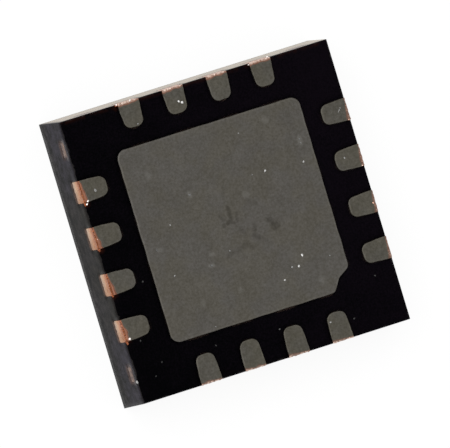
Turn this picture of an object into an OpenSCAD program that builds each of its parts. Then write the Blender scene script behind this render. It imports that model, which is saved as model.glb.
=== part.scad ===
// Leadless moulded chip package, lying on its marking face with its terminals up.
// Pieces are drawn by their depth below the terminal face and then turned over.
// The copper lead frame is drawn as etched, running on past the body, and then sawn.

/* [Body] */
// Side of the sawn body along X at its marking face
body_x = 4.00; // [3.9:0.01:4.25]
// Side of the sawn body along Y at its marking face
body_y = 4.00; // [3.9:0.01:4.25]
// Height of the moulding compound
body_t = 0.85; // [0.8:0.01:1.1]
// How far each sawn side leans in between the marking face and the lands
saw_lean = 0.025; // [0:0.005:0.05]

/* [Lead frame] */
// Thickness of the copper sheet
frame_t = 0.25; // [0.2:0.01:0.28]
// Thickness left where the sheet is half etched
etch_t = 0.125; // [0.09:0.005:0.15]
// How far the lands stand out of the compound
stand_off = 0.02; // [0.01:0.005:0.05]
// How far the frame lies off the saw cuts' centre along Y
saw_off = 0.02; // [0:0.005:0.05]

/* [Terminals] */
// Spacing of the terminals along a side
pitch = 0.65; // [0.6:0.01:0.68]
// Width of a land at the saw cut
land_w = 0.304; // [0.25:0.002:0.36]
// Length from the nominal cut over which a land keeps that width
land_s = 0.14; // [0.05:0.01:0.2]
// Width of a land across its tip, before the corners are rounded
tip_w = 0.264; // [0.24:0.002:0.32]
// Length of a land from the nominal cut to its tip
land_l = 0.38; // [0.34:0.01:0.42]
// Corner radius of a tip
tip_r = 0.10; // [0.04:0.01:0.11]
// How far the half-etched lock reaches past its land
lock = 0.05; // [0.02:0.01:0.08]
// Distance from the nominal cut to the outer end of the lock
lock_in = 0.12; // [0.06:0.01:0.2]

/* [Exposed pad] */
// Clear gap between the tips of the lands and the pad
pad_gap = 0.245; // [0.21:0.005:0.3]
// Corner radius of the pad
pad_r = 0.13; // [0.05:0.01:0.2]
// Length that the notch takes off each side at the corner by terminal 1
notch = 0.29; // [0.2:0.01:0.36]
// Depth of the notch's hollow below a straight bevel
notch_sag = 0.03; // [0.01:0.01:0.06]
// Radius of the notch's two outer corners and of its hollow
notch_r = 0.09; // [0.04:0.01:0.12]
// How far the half-etched rim reaches past the pad
rim = 0.05; // [0.02:0.01:0.08]

/* [Tie bars] */
// Width of a tie bar and of its fork
tie_w = 0.20; // [0.14:0.01:0.24]
// Distance from the nominal cut to the middle of the fork
tie_in = 0.40; // [0.34:0.01:0.46]

/* [Die] */
// Side of the die along X
die_x = 1.75; // [1.4:0.01:2.1]
// Side of the die along Y
die_y = 1.75; // [1.4:0.01:2.1]
// Thickness of the die
die_t = 0.22; // [0.15:0.01:0.26]
// Thickness of the epoxy under the die
glue_t = 0.025; // [0.015:0.005:0.04]
// How far the epoxy is squeezed out past the die
glue_edge = 0.05; // [0.02:0.01:0.1]
// Corner radius of the squeezed epoxy
glue_r = 0.08; // [0.04:0.01:0.12]

/* [Bond wires] */
// Diameter of a bond wire
wire_d = 0.025; // [0.018:0.001:0.04]
// Diameter of the ball on the die
ball_d = 0.064; // [0.045:0.001:0.08]
// Height of the ball on the die
ball_h = 0.016; // [0.01:0.001:0.025]
// Width of the stitch on the terminal
stitch_d = 0.05; // [0.042:0.001:0.07]
// Spacing of the balls along an edge of the die
ball_pitch = 0.36; // [0.2:0.01:0.4]
// Distance from the die's edge to the middle of a ball
ball_in = 0.09; // [0.06:0.01:0.15]
// Distance from the nominal cut to the middle of a stitch
stitch_in = 0.26; // [0.2:0.01:0.32]
// Height of a wire's arch over the line between its ends
loop_h = 0.15; // [0.1:0.01:0.18]
// How far the arch leans towards the die, as a share of its height
loop_lean = 0.35; // [0:0.05:0.6]

/* [Hidden] */
sides = 4;
per_side = 4;
count = sides * per_side;
quarter = 360 / sides;
arc_chords = 8;
wire_sides = 8;
wire_steps = 9;

top_z = body_t + stand_off;
land_t = frame_t - etch_t;
die_back = frame_t + glue_t;
die_face = die_back + die_t;
overrun = land_l;
face_x = body_x - 2 * saw_lean;
face_y = body_y - 2 * saw_lean;
pad_x = face_x - 2 * (land_l + pad_gap);
pad_y = face_y - 2 * (land_l + pad_gap);

function numbered(name, n) = str(name, n < 9 ? "_0" : "_", n + 1);
terminal_names = [for (n = [0 : count - 1]) numbered("terminal", n)];
wire_names = [for (n = [0 : count - 1]) numbered("bond_wire", n)];

compound = "#19181b";
tinned = "#8d897f";
silicon = "#74777f";
epoxy = "#cfccc2";
gold = "#d6a83a";

// Rounded outlines: each corner is [x, y, radius]

function unit(v) = v / norm(v);
function turned_by(v, a) = [v.x * cos(a) - v.y * sin(a), v.x * sin(a) + v.y * cos(a)];
function place(corner) = [corner[0], corner[1]];
function corner_arc(before, at, after, r) =
    let (
        u = unit(before - at),
        v = unit(after - at),
        half = acos(u * v) / 2,
        centre = at + unit(u + v) * r / sin(half),
        start = at + u * r / tan(half) - centre,
        sweep = -sign(cross(u, v)) * (180 - 2 * half)
    )
    r == 0 ? [at] : [for (k = [0 : arc_chords]) centre + turned_by(start, sweep * k / arc_chords)];
function rounded(corners) =
    let (n = len(corners))
    [for (i = [0 : n - 1])
        each corner_arc(
            place(corners[(i + n - 1) % n]), place(corners[i]), place(corners[(i + 1) % n]), corners[i][2])];

// Frames of reference

// Depth below the terminal face becomes height above the marking face
module from_terminal_face() {
    translate([0, 0, top_z]) mirror([0, 0, 1]) children();
}

// The lead frame, with what it carries, sits a little off the middle of the saw cuts
module on_frame() {
    from_terminal_face() translate([0, saw_off, 0]) children();
}

module layer(depth, thickness) {
    translate([0, 0, depth]) linear_extrude(thickness) children();
}

// What is left between two opposite saw cuts, which lean in as they rise
module between_cuts(half, run, height) {
    top = half - saw_lean * height / top_z;
    translate([0, run / 2, 0]) rotate([90, 0, 0]) linear_extrude(run)
        polygon([[-half, 0], [half, 0], [top, height], [-top, height]]);
}

module sawn_block(height) {
    intersection() {
        between_cuts(body_x / 2, body_y + overrun, height);
        rotate(quarter) between_cuts(body_y / 2, body_x + overrun, height);
    }
}

module sawn() {
    intersection() {
        children();
        sawn_block(top_z);
    }
}

// Sides are numbered clockwise as the terminals are seen, from the side at -Y
function side_of(n) = floor(n / per_side);
function along_side(n, spacing) = (per_side - 1 - 2 * (n % per_side)) * spacing / 2;
function half_of(n, x, y) = (side_of(n) % 2 == 0 ? y : x) / 2;
function on_side(n, spacing, out) = turned_by([along_side(n, spacing), -out], -quarter * side_of(n));

// Terminals: x runs inwards from the nominal cut

module land_outline() {
    polygon(rounded([
        [-overrun, -land_w / 2, 0],
        [land_s, -land_w / 2, 0],
        [land_l, -tip_w / 2, tip_r],
        [land_l, tip_w / 2, tip_r],
        [land_s, land_w / 2, 0],
        [-overrun, land_w / 2, 0]]));
}

module lock_outline() {
    polygon(rounded([
        [lock_in, -land_w / 2 - lock, 0],
        [land_l + lock, -tip_w / 2 - lock, tip_r + lock],
        [land_l + lock, tip_w / 2 + lock, tip_r + lock],
        [lock_in, land_w / 2 + lock, 0]]));
}

module lead(n) {
    on_frame()
        translate(on_side(n, pitch, half_of(n, face_x, face_y)))
            rotate(quarter - quarter * side_of(n)) {
                layer(0, frame_t) land_outline();
                layer(land_t, etch_t) lock_outline();
            }
}

module terminal(n) {
    color(tinned) sawn() lead(n);
}

// Die paddle: the exposed pad, its rim and the forked tie bars

module pad_outline(grow) {
    x = pad_x / 2 + grow;
    y = pad_y / 2 + grow;
    r = pad_r + grow;
    hollow = notch / 2 + notch_sag;
    polygon(rounded([
        [-x, -y, r],
        [x - notch, -y, notch_r],
        [x - hollow, -y + hollow, notch_r],
        [x, -y + notch, notch_r],
        [x, y, r],
        [-x, y, r]]));
}

module bar(from, to, width) {
    run = to - from;
    translate(from) rotate(atan2(run.y, run.x)) translate([0, -width / 2]) square([norm(run), width]);
}

module tie_outline() {
    fork = [face_x / 2 - tie_in, face_y / 2 - tie_in];
    root = [pad_x / 2 - notch, pad_y / 2 - notch];
    end = fork + [tie_in + overrun, tie_in + overrun];
    for (mx = [0, 1], my = [0, 1])
        mirror([mx, 0]) mirror([0, my]) {
            bar(root, fork, tie_w);
            bar([fork.x - tie_w / 2, fork.y], [end.x, fork.y], tie_w);
            bar([fork.x, fork.y - tie_w / 2], [fork.x, end.y], tie_w);
        }
}

module etched_paddle() {
    on_frame() {
        layer(0, frame_t) pad_outline(0);
        layer(land_t, etch_t) {
            pad_outline(rim);
            tie_outline();
        }
    }
}

module die_paddle() {
    color(tinned) sawn() etched_paddle();
}

// Die and the epoxy under it

module die_attach() {
    x = die_x / 2 + glue_edge;
    y = die_y / 2 + glue_edge;
    color(epoxy) on_frame() layer(frame_t, glue_t)
        polygon(rounded([[-x, -y, glue_r], [x, -y, glue_r], [x, y, glue_r], [-x, y, glue_r]]));
}

module silicon_die() {
    color(silicon) on_frame() layer(die_back, die_t) square([die_x, die_y], center = true);
}

// Bond wires: an arch from the ball to the stitch, upright where it leaves and where it lands

function span_share(u) = (1 - cos(180 * u)) / 2;
function wire_depth(u) =
    let (start = die_face + ball_h)
    start + (frame_t - start) * span_share(u) + loop_h * sin(180 * u) * (1 + loop_lean * cos(180 * u));
function wire_slope(u, span) =
    let (s = sin(180 * u), c = cos(180 * u))
    [span * s / 2, (frame_t - die_face - ball_h) * s / 2 + loop_h * (c + loop_lean * (c * c - s * s))];
function ring(at, dir, depth, slope, r) =
    let (t = unit(slope))
    [for (k = [0 : wire_sides - 1])
        let (a = 360 * k / wire_sides, out = r * sin(a))
        [at.x - dir.y * r * cos(a) + dir.x * t.y * out,
         at.y + dir.x * r * cos(a) + dir.y * t.y * out,
         depth - t.x * out]];
function wire_r(k) = (k == wire_steps ? stitch_d : wire_d) / 2;

module bond_wire(n) {
    ball = on_side(n, ball_pitch, half_of(n, die_x, die_y) - ball_in);
    stitch = on_side(n, pitch, half_of(n, face_x, face_y) - stitch_in);
    span = norm(stitch - ball);
    dir = unit(stitch - ball);
    upright = [0, 1];
    rings = concat(
        [ring(ball, dir, die_face, upright, ball_d / 2)],
        [ring(ball, dir, die_face + ball_h, upright, ball_d / 2)],
        [for (k = [0 : wire_steps])
            let (u = k / wire_steps)
            ring(ball + dir * span * span_share(u), dir, wire_depth(u), wire_slope(u, span), wire_r(k))]);
    last = (len(rings) - 1) * wire_sides;
    walls = [for (j = [0 : len(rings) - 2], k = [0 : wire_sides - 1])
        let (a = j * wire_sides, b = a + wire_sides, m = (k + 1) % wire_sides)
        [a + k, a + m, b + m, b + k]];
    ends = [[for (k = [wire_sides - 1 : -1 : 0]) k], [for (k = [0 : wire_sides - 1]) last + k]];
    color(gold) on_frame() polyhedron([for (r = rings) each r], concat(walls, ends));
}

// Moulding compound: the block with the lead frame and all that it carries sunk into it

module mould_body() {
    color(compound) difference() {
        sawn_block(body_t);
        etched_paddle();
        die_attach();
        silicon_die();
        for (n = [0 : count - 1]) {
            lead(n);
            bond_wire(n);
        }
    }
}

mould_body();
die_paddle();
die_attach();
silicon_die();
for (n = [0 : count - 1]) terminal(n);
for (n = [0 : count - 1]) bond_wire(n);
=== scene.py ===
"""Looks of a leadless chip package that lies on its marking face, terminals up.

The moulded body and the hidden pieces stay as the frame gives them, with finishes of their own. The metal
that shows is made again as surfaces: plated lands and pad with rounded edges, sawn copper ends, and the
burrs, beads and dust that lie on them. Lengths are in millimetres until a mesh is made.
"""

import math

import bmesh
import bpy
import numpy as np
from mathutils import Matrix, Vector


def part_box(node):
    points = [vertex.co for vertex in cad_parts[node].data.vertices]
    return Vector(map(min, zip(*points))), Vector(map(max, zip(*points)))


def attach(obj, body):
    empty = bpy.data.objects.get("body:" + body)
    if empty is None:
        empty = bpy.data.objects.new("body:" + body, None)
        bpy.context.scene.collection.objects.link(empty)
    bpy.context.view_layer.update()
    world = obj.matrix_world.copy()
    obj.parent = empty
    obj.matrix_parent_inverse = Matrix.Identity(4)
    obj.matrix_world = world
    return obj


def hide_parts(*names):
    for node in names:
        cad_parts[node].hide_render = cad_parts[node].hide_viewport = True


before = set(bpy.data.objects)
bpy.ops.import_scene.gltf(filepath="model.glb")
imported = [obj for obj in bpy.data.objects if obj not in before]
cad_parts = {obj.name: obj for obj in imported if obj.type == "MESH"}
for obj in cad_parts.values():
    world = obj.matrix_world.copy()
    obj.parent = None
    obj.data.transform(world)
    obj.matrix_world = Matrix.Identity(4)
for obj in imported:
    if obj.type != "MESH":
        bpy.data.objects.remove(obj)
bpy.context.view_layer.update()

MM = 0.001
UP = np.array([0.0, 0.0, 1.0])


def box_mm(node):
    """Lowest and highest corner of a node, in millimetres."""
    low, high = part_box(node)
    return np.array(low) / MM, np.array(high) / MM


# Sizes of the lead frame, as etched. A land keeps its width LAND_W for LAND_S and narrows to TIP_W.
PER_SIDE = 4
PITCH = 0.65
LAND_W = 0.304
LAND_L = 0.38
LAND_S = 0.14
TIP_W = 0.264
TIP_R = 0.10
LOCK = 0.05
LOCK_IN = 0.12
FRAME_T = 0.25
ETCH_T = 0.125
PAD_SIDE = 2.70
PAD_R = 0.13
NOTCH = 0.29
NOTCH_SAG = 0.03
NOTCH_R = 0.09
RIM = 0.05
TIE_W = 0.20
TIE_IN = 0.40

# Places read from the frame
MOULD_HIGH = box_mm("mould_body")[1]
PADDLE_HIGH = box_mm("die_paddle")[1]
BODY_HALF = MOULD_HIGH[0]
MOULD_Z = MOULD_HIGH[2]
LAND_Z = PADDLE_HIGH[2]
BACK_Z = LAND_Z - FRAME_T
ETCH_Z = BACK_Z + ETCH_T
SAW_LEAN = (BODY_HALF - PADDLE_HIGH[0]) * LAND_Z / BACK_Z
FACE_HALF = BODY_HALF - SAW_LEAN
FRAME_MIDDLE = sum(box_mm("silicon_die"))[:2] / 2
BAR_AT = FACE_HALF - TIE_IN
BAR_Z = (BACK_Z + ETCH_Z) / 2
ON_CUT = 1e-4


def cut_at(z):
    """Distance of a leaning saw cut from the middle of the body at height z."""
    return BODY_HALF - SAW_LEAN * z / LAND_Z


# The view: a long lens that looks down on the terminals, a little from the left
VIEW_FROM = np.array([-0.3056, 0.0440, 0.9512])
VIEW_UP = np.array([0.2871, 0.9567, 0.0480])
VIEW_AIM = np.array([0.107, -0.033, 0.036])
VIEW_DISTANCE = 200.0
VIEW_CLIP = 10.0
PICTURE = np.array([450.0, 448.0])
PIXELS_PER_MM = 73.94
SENSOR = 36.0

view_z = VIEW_FROM / np.linalg.norm(VIEW_FROM)
view_x = np.cross(VIEW_UP, view_z)
view_x /= np.linalg.norm(view_x)
view_y = np.cross(view_z, view_x)
view_place = VIEW_AIM + view_z * VIEW_DISTANCE


def at_pixel(pixels, height):
    """Points at a height that the picture shows at these pixels: each pixel's ray, cut at that height."""
    offset = (np.asarray(pixels, float) - PICTURE / 2) / PIXELS_PER_MM
    through = VIEW_AIM + offset[:, :1] * view_x - offset[:, 1:2] * view_y
    ray = through - view_place
    share = (height - view_place[2]) / ray[:, 2]
    return view_place + ray * share[:, None]


def scene_object(name, data):
    """A new object in the scene."""
    made = bpy.data.objects.new(name, data)
    bpy.context.scene.collection.objects.link(made)
    return made


def make_camera():
    """The camera at the view's place, with the lens that gives the picture its scale."""
    camera = scene_object("camera", bpy.data.cameras.new("camera"))
    camera.data.sensor_width = SENSOR
    camera.data.lens = PIXELS_PER_MM * VIEW_DISTANCE * SENSOR / PICTURE[0]
    camera.data.clip_start = VIEW_DISTANCE * MM / VIEW_CLIP
    camera.data.clip_end = VIEW_DISTANCE * MM * VIEW_CLIP
    axes = Matrix(np.stack([view_x, view_y, view_z], 1).tolist()).to_4x4()
    camera.matrix_world = Matrix.Translation(Vector(view_place * MM)) @ axes
    bpy.context.scene.camera = camera


# Surfaces


def ease(x, low, high):
    """The smooth step from 0 at low to 1 at high."""
    t = np.clip((x - low) / (high - low), 0, 1)
    return t * t * (3 - 2 * t)


RIPPLE_WAVES = 24


def ripples(seed, wave, *coordinates):
    """Smooth random relief of unit spread: a sum of cosine waves whose directions, lengths and phases are
    drawn once from the seed, with lengths from half to twice the given wave."""
    draw = np.random.default_rng(seed)
    points = np.stack(np.broadcast_arrays(*coordinates), -1)
    direction = draw.normal(size=(RIPPLE_WAVES, points.shape[-1]))
    direction /= np.linalg.norm(direction, axis=1, keepdims=True)
    length = wave * 2 ** draw.uniform(-1, 1, RIPPLE_WAVES)
    phase = draw.uniform(0, 2 * np.pi, RIPPLE_WAVES)
    turns = points @ (direction / length[:, None]).T * 2 * np.pi + phase
    return np.cos(turns).sum(-1) * math.sqrt(2 / RIPPLE_WAVES)


def uneven(kind, number, *coordinates):
    """Ripples of a kind [depth, wave, seed], drawn anew for each number."""
    depth, wave, seed = kind
    return depth * ripples(seed + number, wave, *coordinates)


ARC_STEPS = 16


def corner_arc(before, at, after, radius):
    """One corner's points: the arc of that radius that touches both edges, or the corner itself at 0."""
    if radius == 0:
        return at[None]
    u = (before - at) / np.linalg.norm(before - at)
    v = (after - at) / np.linalg.norm(after - at)
    half = math.acos(u @ v) / 2
    centre = at + (u + v) / np.linalg.norm(u + v) * radius / math.sin(half)
    start = at + u * radius / math.tan(half) - centre
    sweep = -np.sign(u[0] * v[1] - u[1] * v[0]) * (math.pi - 2 * half)
    turn = np.linspace(0, sweep, ARC_STEPS + 1)
    across = np.array([-start[1], start[0]])
    return centre + np.outer(np.cos(turn), start) + np.outer(np.sin(turn), across)


def outline(corners, count):
    """A closed outline, counter-clockwise, from corners [x, y, radius]: straight edges and corner arcs,
    taken at equal steps along the whole length."""
    places = np.array([c[:2] for c in corners], float)
    before, after = np.roll(places, 1, 0), np.roll(places, -1, 0)
    rim = np.concatenate([corner_arc(b, p, a, c[2]) for b, p, a, c in zip(before, places, after, corners)])
    closed = np.concatenate([rim, rim[:1]])
    run = np.concatenate([[0], np.cumsum(np.linalg.norm(np.diff(closed, axis=0), axis=1))])
    steps = np.arange(count) * run[-1] / count
    return np.stack([np.interp(steps, run, closed[:, k]) for k in (0, 1)], -1)


def outward(rim):
    """Unit normals of a counter-clockwise outline: the chord between the neighbours, turned a quarter."""
    chord = np.roll(rim, -1, 0) - np.roll(rim, 1, 0)
    normal = np.stack([chord[:, 1], -chord[:, 0]], -1)
    return normal / np.linalg.norm(normal, axis=1, keepdims=True)


def loft(rings, foot, crown):
    """Points and faces of a closed skin: rings of equal count from bottom to top, and fans to a foot
    point below the first and a crown point above the last. Columns past the third carry attributes."""
    rows, columns = rings.shape[:2]
    points = np.concatenate([rings.reshape(rows * columns, -1), [foot, crown]])
    ids = np.arange(rows * columns).reshape(rows, columns)
    beside = np.roll(ids, -1, 1)
    walls = np.stack([ids[:-1], beside[:-1], beside[1:], ids[1:]], -1).reshape(-1, 4)
    ends = np.full(columns, rows * columns)
    floor = np.stack([beside[0], ids[0], ends], -1)
    roof = np.stack([ids[-1], beside[-1], ends + 1], -1)
    return points, walls.tolist() + floor.tolist() + roof.tolist()


def joined(skins):
    """Several skins as one: points one after another, with the faces counted on."""
    faces, start = [], 0
    for points, own in skins:
        faces += [[start + k for k in face] for face in own]
        start += len(points)
    return np.concatenate([points for points, _ in skins]), faces


SMOOTH_BELOW = math.radians(38)
MERGE_WITHIN = 1e-5


def merge_doubles(mesh):
    """Joins points that lie in one place, so that rings which meet leave no faces without area."""
    work = bmesh.new()
    work.from_mesh(mesh)
    bmesh.ops.remove_doubles(work, verts=work.verts, dist=MERGE_WITHIN * MM)
    work.to_mesh(mesh)
    work.free()


def skin_object(name, skin, attributes=()):
    """A skin in millimetres as an object in the frame, with its attribute columns."""
    points, faces = skin
    mesh = bpy.data.meshes.new(name)
    mesh.from_pydata((points[:, :3] * MM).tolist(), [], faces)
    for column, attribute in enumerate(attributes, start=3):
        layer = mesh.attributes.new(attribute, "FLOAT", "POINT")
        layer.data.foreach_set("value", points[:, column].astype(np.float32))
    merge_doubles(mesh)
    return scene_object(name, mesh)


def unite(piece, skins):
    """Joins closed skins that overlap the piece to it, so that one closed surface is left."""
    added = [skin_object("added", skin) for skin in skins]
    for part in added:
        union = piece.modifiers.new("union", "BOOLEAN")
        union.operation, union.solver, union.object = "UNION", "EXACT", part
    graph = bpy.context.evaluated_depsgraph_get()
    whole = bpy.data.meshes.new_from_object(piece.evaluated_get(graph))
    merge_doubles(whole)
    piece.modifiers.clear()
    piece.data = whole
    for part in added:
        bpy.data.objects.remove(part)


def add_piece(name, skins, material, attributes=(), stands_for=()):
    """A piece of the part from a skin and the skins that are united with it, with its finish and body."""
    piece = skin_object(name, skins[0], attributes)
    if len(skins) > 1:
        unite(piece, skins[1:])
    mesh = piece.data
    mesh.polygons.foreach_set("use_smooth", np.ones(len(mesh.polygons), bool))
    mesh.set_sharp_from_angle(angle=SMOOTH_BELOW)
    mesh.materials.append(material)
    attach(piece, "root")
    if stands_for:
        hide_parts(*stands_for)
    return piece


# Shader maths


def operator(operation, swapped=False):
    """A method that joins a wire and a number or wire by a Math node."""
    def method(self, other):
        pair = (other, self) if swapped else (self, other)
        return self.finish.node("ShaderNodeMath", {"operation": operation}, dict(enumerate(pair)))
    return method


class Wire:
    """One socket of a finish. Arithmetic on it adds Math nodes."""

    def __init__(self, finish, socket):
        self.finish = finish
        self.socket = socket

    __add__ = operator("ADD")
    __radd__ = operator("ADD", swapped=True)
    __sub__ = operator("SUBTRACT")
    __rsub__ = operator("SUBTRACT", swapped=True)
    __mul__ = operator("MULTIPLY")
    __rmul__ = operator("MULTIPLY", swapped=True)
    __truediv__ = operator("DIVIDE")
    __mod__ = operator("MODULO")
    most = operator("MAXIMUM")
    least = operator("MINIMUM")

    def __abs__(self):
        return self.finish.node("ShaderNodeMath", {"operation": "ABSOLUTE"}, {0: self})

    def ease(self, low, high):
        """The smooth step from 0 at low to 1 at high."""
        return self.finish.node("ShaderNodeMapRange", {"interpolation_type": "SMOOTHSTEP"},
                                {"Value": self, "From Min": low, "From Max": high})

    def spread(self, start, gain):
        """Start where the wire is 0, and start and gain together where it is 1."""
        return start + gain * self


MIX_COLOUR_A, MIX_COLOUR_B, MIX_COLOUR_OUT = 6, 7, 2


class Finish:
    """A material's node tree, or the world's, and the one method that makes any node in it."""

    def __init__(self, owner):
        owner.use_nodes = True
        self.owner = owner
        self.tree = owner.node_tree
        self.tree.nodes.clear()

    def node(self, kind, settings=None, inputs=None, out=0):
        """Makes a node, sets its settings, then its sockets' values or links, and returns an output."""
        made = self.tree.nodes.new(kind)
        for name, value in (settings or {}).items():
            if name == "stops":
                ramp = made.color_ramp.elements
                ramp.remove(ramp[1])
                for k, (position, colour) in enumerate(value):
                    stop = ramp.new(position) if k else ramp[0]
                    stop.position, stop.color = position, (*colour, 1)
            else:
                setattr(made, name, value)
        for name, value in (inputs or {}).items():
            if isinstance(value, Wire):
                self.tree.links.new(value.socket, made.inputs[name])
            else:
                made.inputs[name].default_value = value
        return Wire(self, made.outputs[out]) if made.outputs else None

    def place(self, stretch=(1, 1, 1)):
        """The point's own place in millimetres, stretched along the axes."""
        spot = self.node("ShaderNodeTexCoord", out="Object")
        return self.vector("MULTIPLY", spot, tuple(s / MM for s in stretch))

    def parts(self, vector):
        """The x, y and z of a vector."""
        return [self.node("ShaderNodeSeparateXYZ", None, {0: vector}, out=axis) for axis in "XYZ"]

    def vector(self, operation, a, b, out="Vector"):
        """Two vectors, or a vector and a point, joined by a Vector Math node."""
        a, b = [tuple(v) if isinstance(v, np.ndarray) else v for v in (a, b)]
        return self.node("ShaderNodeVectorMath", {"operation": operation}, {0: a, 1: b}, out)

    def gap(self, place, point):
        """Distance from a point."""
        return self.vector("DISTANCE", place, point, "Value")

    def gap_to_line(self, place, start, end):
        """Distance from the line between two points: from its nearest point, held between the ends."""
        run = end - start
        offset = self.vector("SUBTRACT", place, start)
        share = self.vector("DOT_PRODUCT", offset, run / (run @ run), "Value").most(0.0).least(1.0)
        return self.gap(offset, self.scaled(tuple(run), share))

    def attribute(self, name):
        """An attribute of the piece's points."""
        return self.node("ShaderNodeAttribute", {"attribute_name": name}, out="Fac")

    def noise(self, place, per_mm, detail=2.0, roughness=0.5):
        """Cloudy noise around 0.5, with that many waves to a millimetre."""
        return self.node("ShaderNodeTexNoise", None,
                         {"Vector": place, "Scale": per_mm, "Detail": detail, "Roughness": roughness})

    def noises(self, place, kinds):
        """Noises by name, from kinds [waves per millimetre, detail, roughness]."""
        return {name: self.noise(place, *kind) for name, kind in kinds.items()}

    def mix(self, share, a, b):
        """Colour a where share is 0 and b where it is 1."""
        a, b = [(*c, 1) if isinstance(c, tuple) else c for c in (a, b)]
        inputs = {"Factor": share, MIX_COLOUR_A: a, MIX_COLOUR_B: b}
        return self.node("ShaderNodeMix", {"data_type": "RGBA"}, inputs, MIX_COLOUR_OUT)

    def scaled(self, colour, by):
        """A colour times a value."""
        return self.node("ShaderNodeVectorMath", {"operation": "SCALE"}, {0: colour, "Scale": by})

    def bump(self, height, depth, normal=None):
        """A normal that follows a height of 0 to 1 times a depth in millimetres."""
        inputs = {"Height": height, "Distance": depth * MM, "Strength": 1.0}
        if normal:
            inputs["Normal"] = normal
        return self.node("ShaderNodeBump", None, inputs)

    def surface(self, inputs):
        """A principled surface as the material's output."""
        shader = self.node("ShaderNodeBsdfPrincipled", None, inputs)
        self.node("ShaderNodeOutputMaterial", None, {"Surface": shader})
        return self.owner


def finish_named(name):
    """An empty finish in a new material."""
    return Finish(bpy.data.materials.new(name))


NOISE_MIDDLE = 0.5


def weighted(noises, weights):
    """Sum of the named noises, each times its weight."""
    return sum(weight * noises[name] for name, weight in weights.items())


def swayed(value, noises, weights):
    """A value moved by the named noises' departures from their middle, each times its weight."""
    return sum((weight * (noises[name] - NOISE_MIDDLE) for name, weight in weights.items()), value)


# The moulding compound: pairs are the ends of a smooth step, and a sway is how far noises move a value
MOULD_NOISES = {"grain": (42, 3), "patch": (9, 3, 0.6), "cloud": (2.2, 2), "hue": (2.0, 2)}
CUT_STREAKS = (2.5, 2.5, 30)
FILLER_PER_MM = 30
SPECK_SIZE = (0.10, 0.34)
MOULD_DEPTH = 0.0005
GRAIN_HEIGHT = 0.5
CUT_HEIGHTS = {"streak": 0.3, "speck": 0.6, "patch": 0.6}
MOULDED_ROUGH = 0.55
CUT_ROUGH = 0.10
MOULD_ROUGH_SWAY = {"grain": 0.05}
MOULD_GLOSS = 0.015

# Its moulded faces, and the edge where they turn into the sawn sides, with a paler band by the edge that
# is chipped wear and a painted highlight
MOULD_DARK = (0.0, 0.0, 0.0003)
MOULD_LIGHT = (0.0033, 0.0020, 0.0038)
MOULDED_TONE = 0.45
MOULDED_SWAY = {"grain": 2.0, "cloud": 0.6}
# Painted light across the moulded face: its tone grows per millimetre towards +x and +y
MOULDED_SHADE_PER_X = 0.150
MOULDED_SHADE_PER_Y = 0.055
MOULD_EDGE = 0.15
EDGE_SAMPLES = 8
EDGE_SWAY = {"patch": 0.16}
UPRIGHT = (0.3, 0.7)
EDGE_WEAR_AND_SHEEN = (0.026, 0.0235, 0.0235)
EDGE_SHEEN_LEAST = 0.002
EDGE_SHEEN_REACH = 0.030
EDGE_SHEEN_BREAKS = (0.42, 0.68)
EDGE_SHEEN_FADE = (0.2, 1.0)

# Its sawn sides: cooler and paler by the upper corners, warm elsewhere, with a faint coat on the far one
CUT_DARK = (0.001, 0.0009, 0.0009)
CUT_WARM = (0.0345, 0.0300, 0.0245)
CUT_COOL = (0.0500, 0.0440, 0.0620)
CUT_TONE = 0.40
CUT_SWAY = {"streak": 0.3, "patch": 1.5, "cloud": 0.7, "grain": 1.0}
SPECK_TONE = 0.4
LOW_ON_SIDE = (0.05, 0.45)
LOW_TONE = -0.14
LOW_SWAY = {"patch": 1.5}
COOL_SHARE = 0.14
COOL_SWAY = {"hue": 0.9}
COOL_BY_CORNER = 0.9
BY_CORNER = (0.7, 1.35)
CORNER_HEIGHT = (0.05, 0.40)
FAR_SIDE = (0.5, 0.9)
COAT_IOR = 1.01
WARM_COAT = (1.0, 0.980, 0.951, 1)

# Copper that the saw left on it: a film on the sides, by shares of a land's or bar's width, and smears
COPPER_FILM = (0.250, 0.165, 0.128)
FILM_BREAKS = (0.24, 0.54)
LAND_FILM = (0.36, 0.56)
LAND_FILM_DOWN = 0.10
LANDS_END = (0.95, 1.0)
BAR_FILM = (0.3, 0.85)
BAR_FILM_UP = (0.03, 0.11)
BAR_FILM_DOWN = (0.05, 0.19)
BAR_FILM_SHARE = 0.62
COPPER_SMEAR = (0.022, 0.0055, 0.0030)
SMEAR_BREAKS = (0.35, 0.6)
SMEAR_CORE = 0.01
SMEAR_REACH = 0.075
SMEAR_IN = 0.035
SMEAR_PAST = 0.02
EDGE_SMEAR = 0.55
DRAGGED = (5, 6, 7, 8, 9)


def copper_film(f, place):
    """Copper that the saw dragged over the sides: near 1 under the lands' ends, less by the bars'."""
    x, y, z = f.parts(place)
    run = abs(x - FRAME_MIDDLE[0]).least(abs(y - FRAME_MIDDLE[1]))
    from_land = abs(run % PITCH - PITCH / 2) / LAND_W
    past_lands = (run / (PER_SIDE * PITCH / 2)).ease(*LANDS_END)
    by_land = (1 - from_land.ease(*LAND_FILM)) * (1 - past_lands)
    under = by_land * z.ease(BACK_Z - LAND_FILM_DOWN, BACK_Z)
    from_bar = abs(run - BAR_AT) / TIE_W
    beside = (1 - from_bar.ease(*BAR_FILM)) * (1 - (z - BAR_Z).ease(*BAR_FILM_UP))
    return under.most(BAR_FILM_SHARE * beside * (1 - (BAR_Z - z).ease(*BAR_FILM_DOWN)))


def past_corner(number, s, past, z):
    """A point at height z, s in from the cut and that far past a land's trailing corner."""
    side, middle = lead_place(number)[:2]
    return side.placed(s, side.trail * (LAND_W / 2 + past), z, middle)


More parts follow.
